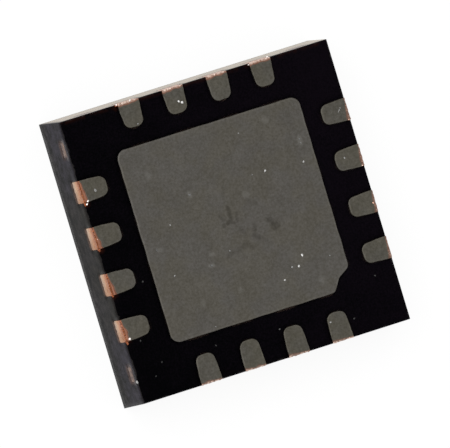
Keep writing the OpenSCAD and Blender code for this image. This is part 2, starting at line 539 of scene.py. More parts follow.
def copper_smear(f, place, sawn):
    """Copper smeared on the moulded face: near 1 by the dragged corners, less by the +Y edge."""
    smear = 0.0
    for number in DRAGGED:
        corner = past_corner(number, SMEAR_IN, SMEAR_PAST, MOULD_Z)
        smear = (1 - f.gap(place, corner).ease(SMEAR_CORE, SMEAR_REACH)).most(smear)
    from_edge = FACE_HALF - f.parts(place)[1]
    return smear.most(EDGE_SMEAR * (1 - from_edge.ease(0.0, SMEAR_REACH)) * (1 - sawn))


def mould_finish():
    """Black moulding compound: near black and finely grained on the moulded faces, greyer and blotched on
    the sawn sides, where cut filler grains show as pale specks and dragged copper films the compound."""
    f = finish_named("mould_compound")
    place = f.place()
    x, y, z = f.parts(place)
    noises = f.noises(place, MOULD_NOISES)
    grain, patch = noises["grain"], noises["patch"]
    noises["streak"] = f.noise(f.place(CUT_STREAKS), per_mm=1, detail=3)
    cells = {"Vector": place, "Scale": FILLER_PER_MM, "Randomness": 1.0}
    speck = 1 - f.node("ShaderNodeTexVoronoi", None, cells, out="Distance").ease(*SPECK_SIZE)
    noises["speck"] = speck

    edge = f.node("ShaderNodeBevel", {"samples": EDGE_SAMPLES}, {"Radius": MOULD_EDGE * MM})
    sawn = 1 - swayed(abs(f.parts(edge)[2]), noises, EDGE_SWAY).ease(*UPRIGHT)
    # The tone grows towards +x and +y: a painted gradient of light
    tone = swayed(MOULDED_TONE, noises, MOULDED_SWAY) + MOULDED_SHADE_PER_X * x + MOULDED_SHADE_PER_Y * y
    moulded = f.mix(tone, MOULD_DARK, MOULD_LIGHT)
    # Paler by the face's edges: chipped wear and a painted highlight on the edge
    inset = FACE_HALF - abs(x).most(abs(y))
    worn_and_sheen = 1 - (inset / patch.ease(*EDGE_SHEEN_BREAKS).spread(EDGE_SHEEN_LEAST, EDGE_SHEEN_REACH)).ease(*EDGE_SHEEN_FADE)
    moulded = f.mix(worn_and_sheen, moulded, EDGE_WEAR_AND_SHEEN)

    low_tone = (1 - z.ease(*LOW_ON_SIDE)) * swayed(LOW_TONE, noises, LOW_SWAY)
    tone = swayed(CUT_TONE, noises, CUT_SWAY) + SPECK_TONE * speck * grain + low_tone
    by_corner = abs(x).least(abs(y)).ease(*BY_CORNER) * z.ease(*CORNER_HEIGHT)
    cool = swayed(COOL_SHARE, noises, COOL_SWAY) + COOL_BY_CORNER * by_corner
    side = f.mix(tone, CUT_DARK, f.mix(cool, CUT_WARM, CUT_COOL))
    side = f.mix(copper_film(f, place) * patch.ease(*FILM_BREAKS), side, COPPER_FILM)

    smear = copper_smear(f, place, sawn) * patch.ease(*SMEAR_BREAKS)
    facing = f.parts(f.node("ShaderNodeNewGeometry", out="True Normal"))[1]
    height = GRAIN_HEIGHT * grain + sawn * weighted(noises, CUT_HEIGHTS)
    rough = sawn.spread(MOULDED_ROUGH, CUT_ROUGH - MOULDED_ROUGH)
    return f.surface({
        "Base Color": f.mix(smear, f.mix(sawn, moulded, side), COPPER_SMEAR),
        "Roughness": swayed(rough, noises, MOULD_ROUGH_SWAY),
        "Specular IOR Level": MOULD_GLOSS,
        "Coat Weight": facing.ease(*FAR_SIDE),
        "Coat IOR": COAT_IOR,
        "Coat Tint": WARM_COAT,
        "Normal": f.bump(height, MOULD_DEPTH, edge)})


# The lead frame's metal, where pairs named share or shade are a start and a gain
METAL_NOISES = {"grain": (34, 2), "fine": (120, 2), "broken": (24, 3), "drift": (2.4, 3), "hue": (2.8, 2)}
# Bare copper by shares of the way: -1 at the foot of the sawn end, 0 at its edge and 1 at the border.
# Its stops hold painted light: a pale painted highlight down the sawn end near -0.6, painted shade at its
# edge near -0.08, a painted highlight on the burr lip near 0.62 and painted shade on the lip's inner flank
# near 0.82
COPPER_LIGHT_STOPS = (
    (-1.00, (0.410, 0.315, 0.250)),
    (-0.84, (0.470, 0.358, 0.252)),
    (-0.70, (0.520, 0.361, 0.229)),
    (-0.56, (0.540, 0.333, 0.199)),
    (-0.44, (0.530, 0.290, 0.164)),
    (-0.32, (0.480, 0.225, 0.115)),
    (-0.20, (0.375, 0.133, 0.052)),
    (-0.08, (0.215, 0.060, 0.016)),
    (0.08, (0.180, 0.058, 0.026)),
    (0.35, (0.280, 0.118, 0.070)),
    (0.62, (0.320, 0.148, 0.096)),
    (0.82, (0.165, 0.062, 0.037)),
    (1.00, (0.170, 0.130, 0.105)),
)
COPPER_DULL_SHADE = (0.130, 0.083, 0.064)
COPPER_AGED = (0.32, 0.132, 0.040)
COPPER_HIGHLIGHT = (0.66, 0.51, 0.43)
COMPOUND_GREY = (0.040, 0.032, 0.030)
METAL_EDGE_ON = (1.0, 0.88, 0.86, 1)
METAL_DEPTH = 0.0016
DRAWN_ALONG = 9
DRAWN_IN = 70
WAY_SWAY = {"streak": 0.40, "grain": 0.35}
TIN_FROM = (0.95, 1.12)
STREAK_SHADE = (0.40, 1.2)
HIGHLIGHT_RISE = (-0.75, -0.25)
HIGHLIGHT_FALL = (-0.05, 0.85)
HIGHLIGHT_BREAKS = (0.42, 0.58)
HIGHLIGHT_SHARE = (0.35, 1.2)
COVER_BREAKS = (0.3, 0.7)
COVER_SHARE = (0.82, 0.36)
TIN_ROUGH = 0.52
COPPER_ROUGH = 0.26
METAL_ROUGH_SWAY = {"fine": 0.10}
TIN_HEIGHTS = {"fine": 0.7, "grain": 0.5}
COPPER_HEIGHTS = {"streak": 1.6, "grain": 0.5}

# Its tin: a dark and a pale tone, two hues that it drifts between, a paler rim that is a painted highlight
# on the rounded edge, and scuffs on the pad
PAD_TIN = (0.0640, 0.0590, 0.0480), (0.1110, 0.1045, 0.0950)
LAND_TIN = (0.0570, 0.0530, 0.0410), (0.1060, 0.0995, 0.0860)
TIN_TONE = 0.5
TIN_SWAY = {"grain": 1.35, "fine": 0.6, "drift": 0.45}
OLIVE = (1.005, 1.0, 0.965)
BLUISH = (0.993, 1.0, 1.02)
HUE_DRIFT = (0.38, 0.62)
RIM_HIGHLIGHT = 0.14
SCUFF_DARK = (0.034, 0.031, 0.025)
SCUFF_PALE = (0.20, 0.195, 0.18)
SCUFF_SHARE = (0.325, 0.9)
STROKE_CORE = 0.15
# Strokes on the pad, each from pixel to pixel, with its reach in pixels and its strength
DARK_SCUFFS = [
    ((227.8, 207.5), (231.2, 219.5), 3.4, 0.66), ((231.2, 219.5), (228.0, 223.5), 3.4, 0.66),
    ((230.6, 222.0), (234.5, 223.0), 3.0, 0.52), ((236.4, 212.5), (237.2, 221.5), 2.4, 0.50),
    ((219.0, 215.5), (223.2, 220.3), 3.2, 0.42), ((224.0, 225.5), (224.4, 227.0), 3.0, 0.52),
    ((268.5, 219.5), (273.0, 222.5), 4.6, 0.56), ((273.0, 223.5), (275.2, 227.5), 4.6, 0.66),
    ((276.0, 222.5), (278.5, 226.0), 3.4, 0.56), ((254.4, 224.5), (255.0, 230.0), 3.4, 0.46),
    ((254.4, 235.0), (258.8, 237.0), 4.0, 0.58), ((247.3, 243.3), (253.0, 247.8), 3.8, 0.32),
    ((237.0, 250.4), (246.0, 245.3), 5.0, 0.27), ((241.0, 228.0), (245.5, 234.0), 3.6, 0.30),
    ((228.5, 256.5), (234.0, 252.0), 4.2, 0.26), ((222.8, 186.0), (223.6, 199.0), 2.2, 0.22),
    ((248.0, 200.5), (256.0, 203.0), 3.4, 0.22), ((262.0, 238.5), (266.5, 240.0), 3.4, 0.28)]
PALE_SCUFFS = [
    ((210.4, 265.8), (213.2, 265.4), 3.2, 0.55), ((211.0, 254.5), (213.0, 254.0), 3.0, 0.30),
    ((244.5, 194.0), (247.5, 194.2), 4.0, 0.28), ((159.0, 250.5), (161.0, 250.5), 4.0, 0.30),
    ((189.0, 193.5), (190.0, 196.0), 3.4, 0.42), ((299.0, 137.5), (300.5, 142.5), 4.0, 0.34),
    ((203.0, 302.0), (203.5, 304.0), 4.0, 0.26), ((240.0, 289.0), (240.5, 291.0), 4.0, 0.24),
    ((321.0, 280.0), (323.0, 280.5), 5.0, 0.24), ((147.5, 175.0), (148.5, 177.0), 5.0, 0.26),
    ((264.5, 119.5), (266.0, 120.5), 5.0, 0.24)]


def near_strokes(f, place, strokes):
    """Near a stroke's strength along its middle at the lands' height, and 0 past every reach."""
    near = 0.0
    for start, end, reach, strength in strokes:
        a, b = at_pixel([start, end], LAND_Z)
        wide = reach / PIXELS_PER_MM
        near = (strength * (1 - f.gap_to_line(place, a, b).ease(STROKE_CORE * wide, wide))).most(near)
    return near


def tin_colour(f, place, noises, tones, scuffed):
    """Matte tin: fine grain between two tones, a faint drift of hue, maybe soft scuffs, and a paler rim
    as a painted highlight on the rounded edge.
    """
    tin = f.mix(swayed(TIN_TONE, noises, TIN_SWAY), *tones)
    tin = f.vector("MULTIPLY", tin, f.mix(noises["hue"].ease(*HUE_DRIFT), OLIVE, BLUISH))
    if scuffed:
        patchy = noises["broken"].spread(*SCUFF_SHARE)
        tin = f.mix(patchy * near_strokes(f, place, DARK_SCUFFS), tin, SCUFF_DARK)
        tin = f.mix(patchy * near_strokes(f, place, PALE_SCUFFS), tin, SCUFF_PALE)
    return f.scaled(tin, 1 + RIM_HIGHLIGHT * f.attribute("rim"))


def copper_colour(f, noises, way):
    """Bare copper by its share of the way, with painted highlight and shade in its stops, aged,
    dulled and darkened by painted shade on the sides turned from the light, and streaked, with a
    painted highlight where its edge stands out and greyed where compound covers it."""
    broken = noises["broken"]
    stops = [((share + 1) / 2, colour) for share, colour in COPPER_LIGHT_STOPS]
    # The ramp paints light into the copper: highlights down the sawn end and on the burr lip, shade at the
    # edge and on the lip's inner flank
    lit_copper = f.node("ShaderNodeValToRGB", {"stops": stops}, {"Fac": (way + 1) / 2})
    lit_copper = f.mix(f.attribute("aged"), lit_copper, COPPER_AGED)
    # Browning and painted shade: the copper on the lands is drawn duller and darker on the sides turned
    # from the light
    lit_copper = f.mix(f.attribute("dull"), lit_copper, COPPER_DULL_SHADE)
    lit_copper = f.scaled(lit_copper, noises["streak"].spread(*STREAK_SHADE))
    # Painted highlight: the copper near the cut's edge is drawn pale where the lip stands out and catches
    # the light
    by_edge = way.ease(*HIGHLIGHT_RISE) * (1 - way.ease(*HIGHLIGHT_FALL))
    edge_highlight = f.attribute("edge_highlight") * by_edge * broken.ease(*HIGHLIGHT_BREAKS).spread(*HIGHLIGHT_SHARE)
    lit_copper = f.mix(edge_highlight, lit_copper, COPPER_HIGHLIGHT)
    covered = f.attribute("covered") * broken.ease(*COVER_BREAKS).spread(*COVER_SHARE)
    return f.mix(covered, lit_copper, COMPOUND_GREY)


def lead_finish(name, tin_tones, scuffed):
    """Matte tin over copper. The attribute cut is the distance in from the saw cut, or less than 0 by the
    depth down the sawn end, border is how far in the copper lies over the land, and along runs along the
    cut. The tin starts where the way from the foot of the sawn end to the border's end is done, along a
    line that streaks and grain make ragged."""
    f = finish_named(name)
    place = f.place()
    noises = f.noises(place, METAL_NOISES)
    cut = f.attribute("cut")
    drawn = {"X": DRAWN_ALONG * f.attribute("along"), "Y": DRAWN_IN * cut}
    noises["streak"] = f.noise(f.node("ShaderNodeCombineXYZ", None, drawn), per_mm=1, detail=3)
    over = cut.most(0.0)
    way = swayed(over / f.attribute("border") + (cut - over) / FRAME_T, noises, WAY_SWAY)
    copper = 1 - way.ease(*TIN_FROM)
    tin = tin_colour(f, place, noises, tin_tones, scuffed)
    height = (1 - copper) * weighted(noises, TIN_HEIGHTS) + copper * weighted(noises, COPPER_HEIGHTS)
    rough = copper.spread(TIN_ROUGH, COPPER_ROUGH - TIN_ROUGH)
    return f.surface({
        "Base Color": f.mix(copper, tin, copper_colour(f, noises, way)),
        "Metallic": 1.0,
        "Specular Tint": METAL_EDGE_ON,
        "Roughness": swayed(rough, noises, METAL_ROUGH_SWAY),
        "Normal": f.bump(height, METAL_DEPTH)})


# Finishes of the small things and the hidden pieces, where roughness and shade are a start and a gain
BURR_TONES = (0.17, 0.042, 0.018), (0.42, 0.15, 0.075)
BURR_TURN = (0.3, 0.7)
BURR_ROUGH = (0.30, 0.2)
# The beads' tones run from pale copper to white: painted glints
BEAD_GLINT_TONES = (0.62, 0.36, 0.26), (1.0, 0.95, 0.91)
BEAD_ROUGH = (0.16, 0.1)
DUST_WHITE = (1.0, 0.995, 0.975)
DUST_SHADE = (0.75, 0.5)
DUST_ROUGH = (0.75, 0.1)
LUMP_DEPTH = 0.002
INNER_DEPTH = 0.001
INNER_ROUGH_GAIN = 0.1
# Each hidden piece's dark and pale tone, mottles per millimetre, metallic share and roughness
INNER_FINISHES = {
    "wire_gold": ((0.62, 0.36, 0.08), (0.83, 0.54, 0.16), 90, 1.0, 0.22),
    "die_silicon": ((0.12, 0.13, 0.15), (0.19, 0.20, 0.23), 25, 0.8, 0.2),
    "die_epoxy": ((0.50, 0.48, 0.43), (0.68, 0.66, 0.61), 60, 0.0, 0.5),
}


def burr_finish():
    """Copper dragged out by the saw: orange to brown, half polished."""
    f = finish_named("burr_copper")
    place = f.place()
    tone = f.noise(place, per_mm=45, detail=3)
    return f.surface({
        "Base Color": f.mix(tone.ease(*BURR_TURN), *BURR_TONES),
        "Metallic": 1.0,
        "Roughness": tone.spread(*BURR_ROUGH),
        "Normal": f.bump(f.noise(place, per_mm=90), LUMP_DEPTH)})


def glint_bead_finish():
    """Tips of burr, drawn pale copper to white as painted glints."""
    f = finish_named("burr_glints")
    mottle = f.noise(f.place(), per_mm=60)
    return f.surface({
        "Base Color": f.mix(f.attribute("tone") + mottle - NOISE_MIDDLE, *BEAD_GLINT_TONES),
        "Metallic": 1.0,
        "Roughness": mottle.spread(*BEAD_ROUGH)})


def dust_finish():
    """Specks of dust and lint, as white as their tone, each a little mottled."""
    f = finish_named("dust")
    mottle = f.noise(f.place(), per_mm=90)
    return f.surface({
        "Base Color": f.scaled(DUST_WHITE, f.attribute("tone") * mottle.spread(*DUST_SHADE)),
        "Roughness": mottle.spread(*DUST_ROUGH),
        "Normal": f.bump(mottle, LUMP_DEPTH)})


def inner_finish(name):
    """A hidden piece's finish: two tones of its colour in a fine mottle."""
    dark, pale, per_mm, metallic, rough = INNER_FINISHES[name]
    f = finish_named(name)
    tone = f.noise(f.place(), per_mm, detail=3)
    return f.surface({
        "Base Color": f.mix(tone, dark, pale),
        "Metallic": metallic,
        "Roughness": tone.spread(rough, INNER_ROUGH_GAIN),
        "Normal": f.bump(tone, INNER_DEPTH)})


# Terminals: s runs in from the saw cut at the height of the lands, w along the side and z up

METAL_ATTRIBUTES = ("cut", "border", "along", "rim", "dull", "aged", "edge_highlight", "covered")
# A point that no cut reaches has this cut and this border
INSIDE = 1.0
NO_BORDER = 0.05


def metal_columns(z, cut, border=NO_BORDER, along=0.0, rim=0.0, dull=0.0, aged=0.0, edge_highlight=0.0,
                  covered=0.0):
    """Height and the metal's attributes, in their order, as the columns of one array."""
    return np.stack(np.broadcast_arrays(z, cut, border, along, rim, dull, aged, edge_highlight, covered), -1)


class Side:
    """One side of the body: the way out, how the saw left its lands' ends, and light painted on them. It
    dragged the copper to the trail, a land's end as a sign along w. Border is how far the copper lies in
    over the land, wedge how much that grows towards the trail, lip the burr's height, the next how far the
    copper on the land is browned and darkened by painted shade on sides turned from the light, aged how
    far the sawn end darkens towards the trail, and the last how strong the painted highlight on its edge
    is."""

    def __init__(self, out, trail, border, wedge, lip, dull, aged, edge_highlight):
        self.out = np.array([*out, 0.0])
        self.along = np.cross(UP, -self.out)
        self.trail, self.border, self.wedge, self.lip = trail, border, wedge, lip
        self.dull, self.aged, self.edge_highlight = dull, aged, edge_highlight

    def placed(self, s, w, z, middle):
        """The frame's points for local s, w and z on the land whose middle is there along the side."""
        s, w, z = [np.asarray(v)[..., None] for v in (s, w, z)]
        return self.out * (FACE_HALF - s) + self.along * (middle + w) + UP * z


# The copper's dulling per side is browning and painted shade, strongest on the sides turned from the light
SIDES = [
    Side((0, -1), trail=1, border=0.028, wedge=0.008, lip=0.008, dull=0.92, aged=0.3, edge_highlight=0.62),
    Side((-1, 0), trail=-1, border=0.050, wedge=0.028, lip=0.008, dull=0.0, aged=0.62, edge_highlight=0.0),
    Side((0, 1), trail=-1, border=0.040, wedge=0.010, lip=0.006, dull=0.40, aged=0.0, edge_highlight=0.75),
    Side((1, 0), trail=1, border=0.030, wedge=0.018, lip=0.004, dull=0.85, aged=0.3, edge_highlight=0.12),
]

# Rows and points of a terminal's skin, and the roundings of its edges
RIM_POINTS = 220
WALL_ROWS = 7
ROUND_ROWS = 4
LEAD_RIM_ROWS = 1
EDGE_R = 0.012
SHARP_IN = 0.06
FOOT_R = 0.035
LOCK_STEP = 0.02
FOOT_STEPS = ETCH_T * np.array([0, 0.03, 0.07, 0.13, 0.20, 0.30, 0.6, 1.0])
CAP_INSETS = np.array([0.004, 0.009, 0.015, 0.022, 0.030, 0.040, 0.052])
CAP_SHARES = np.array([0.86, 0.70, 0.52, 0.32, 0.14])

# What is uneven on it, each with its depth, wave and seed
RIM_RIPPLE = (0.0011, 0.22, 0)
BURR_RAGGED = (0.7, 0.05, 20)
SAW_MARKS = (0.0016, 0.05, 40)
LIP_RAGGED = (1.0, 0.08, 60)
CAP_RIPPLE = (0.0012, 0.16, 80)
BORDER_RAGGED = (0.13, 0.20, 120)
SAW_STRETCH = 0.4
MARKS_LEAST = -0.001
LIP_OUT = 0.30
LIP_DOWN = 0.03
BURR_WIDTH = 0.45
BURR_LEAST = 0.2
FIRST_RISE = 0.4
BORDER_LEAST = 0.004

# Where the copper's marks start and end: by the cut, the share along a land or the frame's thickness
DULL_SHADE_FROM = (-0.03, 0.02)
AGED_ALONG = (-0.6, 0.8)
AGED_UNTIL = (-0.02, 0.01)
FOOT_FROM = (0.92, 1.02)
FOOT_COVERED = 0.18


def lead_place(number):
    """A terminal's side, the middle of its land along that side and the land's length from the cut."""
    side = SIDES[(number - 1) // PER_SIDE]
    low, high = box_mm(f"terminal_{number:02d}")
    middle = (low + high) @ side.along / 2
    inner_end = min(low @ side.out, high @ side.out)
    return side, middle, FACE_HALF - LOCK - inner_end


def lead_rim(number, length):
    """A land's tongue outline in plan, even and then uneven, and its outward normals: straight by the
    cut, where it stays even, then narrowing to a round tip."""
    half, tip = LAND_W / 2, TIP_W / 2
    straight = LAND_S + length - LAND_L
    even = outline([(0, -half, 0), (straight, -half, 0), (length, -tip, TIP_R),
                    (length, tip, TIP_R), (straight, half, 0), (0, half, 0)], RIM_POINTS)
    normal = outward(even)
    normal[even[:, 0] < ON_CUT] = (-1, 0)
    rough = uneven(RIM_RIPPLE, number, *even.T) * ease(even[:, 0], SHARP_IN, 2 * SHARP_IN)
    return even, even + normal * rough[:, None], normal


def lead_wall(number, side, even, rim, normal, edge_r):
    """Rings [s, w, z, cut] up a terminal's side: the lock, a step in to the wall and a rounded plated
    edge. The sawn end leans with its cut, has round lower corners and bears saw marks and a ragged lip."""
    s, w = even.T
    lock = LOCK * ease(s, LOCK_IN - LOCK_STEP, LOCK_IN + LOCK_STEP)
    level = np.zeros(RIM_POINTS)
    edge_z = LAND_Z - edge_r
    turn = np.linspace(0, np.pi / 2, ROUND_ROWS + 1)[1:, None]
    heights = np.concatenate([
        BACK_Z + FOOT_STEPS[:, None] + level, ETCH_Z + level[None],
        np.linspace(ETCH_Z + level, edge_z, WALL_ROWS + 1)[1:], edge_z + edge_r * np.sin(turn)])
    offsets = np.concatenate([
        lock + 0 * FOOT_STEPS[:, None], np.zeros((WALL_ROWS + 1, RIM_POINTS)),
        -edge_r * (1 - np.cos(turn))])
    plan = rim[None] + normal[None] * offsets[..., None]

    below = np.clip(1 - (heights - BACK_Z) / FOOT_R, 0, 1)
    round_in = FOOT_R * (1 - np.sqrt(1 - below ** 2)) * (1 - ease(s, LOCK_IN / 2, LOCK_IN))
    plan[..., 1] *= 1 - round_in / (LAND_W / 2)
    depth = LAND_Z - heights
    lip = LIP_OUT * side.lip * np.exp(-(depth / LIP_DOWN) ** 2)
    marks = uneven(SAW_MARKS, number, w[None] * SAW_STRETCH, heights)
    marks += lip * (1 + uneven(LIP_RAGGED, number, w[None] + 0 * heights))
    at_cut = s[None] < ON_CUT
    plan[..., 0] -= np.where(at_cut, SAW_LEAN * depth / LAND_Z + np.maximum(marks, MARKS_LEAST), 0)
    cut = np.where(at_cut, -depth, plan[..., 0])
    return np.concatenate([plan, heights[..., None], cut[..., None]], -1)


def cap_rings(rim, normal, inset_start, centre):
    """Rings of a land's cap in plan: drawn in from the rim along its normals and mitred at the cut's
    corners, then shrunk towards the centre."""
    inset = CAP_INSETS[:, None]
    drawn_in = rim[None] - normal[None] * (inset_start[None] + inset)[..., None]
    drawn_in[..., 0] = np.maximum(drawn_in[..., 0], inset)
    drawn_in[..., 1] = np.clip(drawn_in[..., 1], inset - LAND_W / 2, LAND_W / 2 - inset)
    shrunk = centre + (drawn_in[-1] - centre)[None] * CAP_SHARES[:, None, None]
    return np.concatenate([drawn_in, shrunk])


def lead_cap(number, side, rim, normal, edge_r, centre):
    """Rings [s, w, z, cut] of a land's plated top, with fine waves and a ragged burr by the cut."""
    s, w = np.moveaxis(cap_rings(rim, normal, edge_r, centre), -1, 0)
    reach = side.border + side.wedge * side.trail * w / (LAND_W / 2)
    burr = side.lip * np.exp(-(s / (BURR_WIDTH * reach)) ** 2)
    burr *= np.maximum(BURR_LEAST, 1 + uneven(BURR_RAGGED, number, w + 0 * s))
    rise = uneven(CAP_RIPPLE, number, s, w) + burr
    rise[0] *= FIRST_RISE
    return np.stack([s, w, LAND_Z + rise, s], -1)


def lead_skin(number):
    """One terminal as a closed loft of its wall and cap, with the attributes that its finish reads."""
    side, middle, length = lead_place(number)
    even, rim, normal = lead_rim(number, length)
    edge_r = EDGE_R * ease(even[:, 0], SHARP_IN, 2 * SHARP_IN)
    centre = np.array([length / 2, 0.0])
    wall = lead_wall(number, side, even, rim, normal, edge_r)
    cap = lead_cap(number, side, rim, normal, edge_r, centre)
    s, w, z, cut = np.moveaxis(np.concatenate([wall, cap]), -1, 0)

    dragged = side.trail * w / (LAND_W / 2)
    border = (side.border + side.wedge * dragged) * (1 + uneven(BORDER_RAGGED, number, w))
    border = np.maximum(border, BORDER_LEAST)
    along = w + middle + number
    # Rows of the rounded plated edge, drawn paler as a painted highlight
    rim_highlight = np.zeros((len(z), 1))
    rim_highlight[len(wall) - ROUND_ROWS:len(wall) + LEAD_RIM_ROWS] = 1
    # The copper's dulling by side: browning and painted shade, strongest on the sides turned from the
    # light
    dull = side.dull * ease(cut, *DULL_SHADE_FROM)
    aged = side.aged * ease(dragged, *AGED_ALONG) * (1 - ease(cut, *AGED_UNTIL))
    covered = FOOT_COVERED * ease(-cut / FRAME_T, *FOOT_FROM)
    columns = metal_columns(z, cut, border, along, rim_highlight, dull, aged, side.edge_highlight, covered)
    rings = np.concatenate([side.placed(s, w, 0 * z, middle)[..., :2], columns], -1)
    point = side.placed(centre[0], 0.0, 0.0, middle)[:2]
    return loft(rings, [*point, *metal_columns(BACK_Z, INSIDE)], [*point, *metal_columns(LAND_Z, INSIDE)])


def lead_piece(number, material):
    """A terminal in place of its node."""
    add_piece(f"lead_{number:02d}", [lead_skin(number)], material, METAL_ATTRIBUTES,
              (f"terminal_{number:02d}",))


# Die paddle: the exposed pad with its half-etched rim, and the forked tie bars out to the saw cuts

PAD_POINTS = 900
PAD_INSETS = np.array([0.004, 0.010, 0.017, 0.025, 0.034, 0.044, 0.055])
PAD_SHARES = np.linspace(1, 0, 26)[1:-1]
PAD_RIM_ROWS = 2
PAD_RIM_RIPPLE = (0.0014, 0.35, 7)
PAD_CAP_RIPPLE = (0.0012, 0.35, 8)


def pad_corners():
    """The pad's outline: a rounded square whose corner by terminal 1 is a hollow bevel."""
    half = PAD_SIDE / 2
    hollow = NOTCH / 2 + NOTCH_SAG
    return [(-half, -half, PAD_R), (half - NOTCH, -half, NOTCH_R), (half - hollow, hollow - half, NOTCH_R),
            (half, NOTCH - half, NOTCH_R), (half, half, PAD_R), (-half, half, PAD_R)]


def pad_skin():
    """The pad as a closed loft: half-etched rim, wall, rounded plated edge and a cap with fine waves."""
    rim = outline(pad_corners(), PAD_POINTS)
    normal = outward(rim)
    rim = rim + normal * uneven(PAD_RIM_RIPPLE, 0, *rim.T)[:, None]
    turn = np.linspace(0, np.pi / 2, ROUND_ROWS + 1)[1:]
    edge_z = LAND_Z - EDGE_R
    offsets = np.concatenate([[RIM, RIM, 0, 0], EDGE_R * (np.cos(turn) - 1)])
    heights = np.concatenate([[BACK_Z, ETCH_Z, ETCH_Z, edge_z], edge_z + EDGE_R * np.sin(turn)])
    wall = rim[None] + normal[None] * offsets[:, None, None]
    drawn_in = rim[None] - normal[None] * (EDGE_R + PAD_INSETS)[:, None, None]
    shrunk = drawn_in[-1][None] * PAD_SHARES[:, None, None]
    cap = np.concatenate([drawn_in, shrunk])
    rise = LAND_Z + uneven(PAD_CAP_RIPPLE, 0, cap[..., 0], cap[..., 1])
    plan = np.concatenate([wall, cap]) + FRAME_MIDDLE
    z = np.concatenate([heights[:, None] + 0 * wall[..., 0], rise])
    # Rows of the rounded plated edge, drawn paler as a painted highlight
    rim_highlight = np.zeros((len(plan), 1))
    rim_highlight[len(wall) - ROUND_ROWS:len(wall) + PAD_RIM_ROWS] = 1
    rings = np.concatenate([plan, metal_columns(z, INSIDE, rim=rim_highlight)], -1)
    foot, crown = [[*FRAME_MIDDLE, *metal_columns(height, INSIDE)] for height in (BACK_Z, LAND_Z)]
    return loft(rings, foot, crown)


BAR_POINTS = 120
BAR_ROWS = 9
BAR_DULL = 0.15
BAR_COVERED = 0.80
BAR_EDGE_COVERED = 0.5
BAR_EDGE_POWER = 4
BAR_UNEVEN = (0.08, 0.12, 3350)


def bar_skin(start, end):
    """A half-etched bar as a closed loft of its rectangle, ending on the leaning cut it runs past."""
    run = (end - start) / np.linalg.norm(end - start)
    across = np.array([-run[1], run[0]]) * TIE_W / 2
    corners = [(*(start - across), 0), (*(end - across), 0), (*(end + across), 0), (*(start + across), 0)]
    rim = outline(corners, BAR_POINTS) + FRAME_MIDDLE
    heights = np.linspace(BACK_Z, ETCH_Z, BAR_ROWS)[:, None] + 0 * rim[None, :, 0]
    limit = cut_at(heights)[..., None]
    plan = np.clip(rim[None], -limit, limit)
    middle = plan[0].mean(0)
    return loft(np.concatenate([plan, heights[..., None]], -1), [*middle, BACK_Z], [*middle, ETCH_Z])


def mark_sawn(piece):
    """Gives points on a saw cut the marks of a tie bar's end: copper that compound covers unevenly, and
    most by the bar's upper and lower edge."""
    mesh = piece.data
    places = np.empty(3 * len(mesh.vertices))
    mesh.vertices.foreach_get("co", places)
    x, y, z = places.reshape(-1, 3).T / MM
    sawn = np.maximum(abs(x), abs(y)) > cut_at(z) - ON_CUT
    along = np.where(abs(x) > abs(y), y, x)
    by_edge = (abs(z - BAR_Z) / (ETCH_T / 2)) ** BAR_EDGE_POWER
    covered = BAR_COVERED * (1 + uneven(BAR_UNEVEN, 0, along, z)) + BAR_EDGE_COVERED * by_edge
    marks = {"cut": np.where(sawn, z - LAND_Z, INSIDE), "along": along,
             "dull": BAR_DULL * sawn, "covered": covered * sawn}
    for attribute, values in marks.items():
        mesh.attributes[attribute].data.foreach_set("value", values.astype(np.float32))


def paddle_piece(material):
    """The pad and its tie bars as one piece: a bar from each corner to a fork, and two on to the cuts."""
    root = PAD_SIDE / 2 - NOTCH
    past = FACE_HALF + TIE_W
    skins = [pad_skin()]
    for corner in np.array([(1, 1), (-1, 1), (-1, -1), (1, -1)], float):
        fork = corner * BAR_AT
        skins.append(bar_skin(corner * root, fork))
        skins.append(bar_skin(fork - corner * (TIE_W / 2, 0), fork * (0, 1) + corner * (past, 0)))
        skins.append(bar_skin(fork - corner * (0, TIE_W / 2), fork * (1, 0) + corner * (0, past)))
    mark_sawn(add_piece("paddle", skins, material, METAL_ATTRIBUTES, ("die_paddle",)))


# Lumps: burr tails, burr beads whose pale tones are painted glints, and dust

LUMP_ROWS = 9
LUMP_COLUMNS = 14
LUMP_WAVE = 1.6


def lump_skin(centre, axes, seed, rough, tone):
    """A closed uneven ellipsoid of one tone: latitude rings on three half axes, moved by ripples."""
    latitude = np.linspace(-np.pi / 2, np.pi / 2, LUMP_ROWS + 2)[1:-1]
    longitude = np.arange(LUMP_COLUMNS) * 2 * np.pi / LUMP_COLUMNS
    flat = np.cos(latitude)[:, None]
    ball = np.stack([flat * np.cos(longitude), flat * np.sin(longitude),
                     np.sin(latitude)[:, None] + 0 * longitude], -1)
    ball = ball * (1 + rough * ripples(seed, LUMP_WAVE, *np.moveaxis(ball, -1, 0)))[..., None]
    rings = centre + ball @ np.asarray(axes)
    toned = np.concatenate([rings, np.full((*rings.shape[:2], 1), tone)], -1)
    return loft(toned, [*(centre - axes[2]), tone], [*(centre + axes[2]), tone])


# Specks: half axes as shares of half the size, the lift of their middle, and how rough they are
MICROMETRE = 0.001
SPECK_LONG = (1.0, 1.35)
SPECK_WIDE = (0.75, 1.0)
SPECK_HIGH = 0.6
SPECK_LIFT = 0.3
SPECK_ROUGH = 0.14


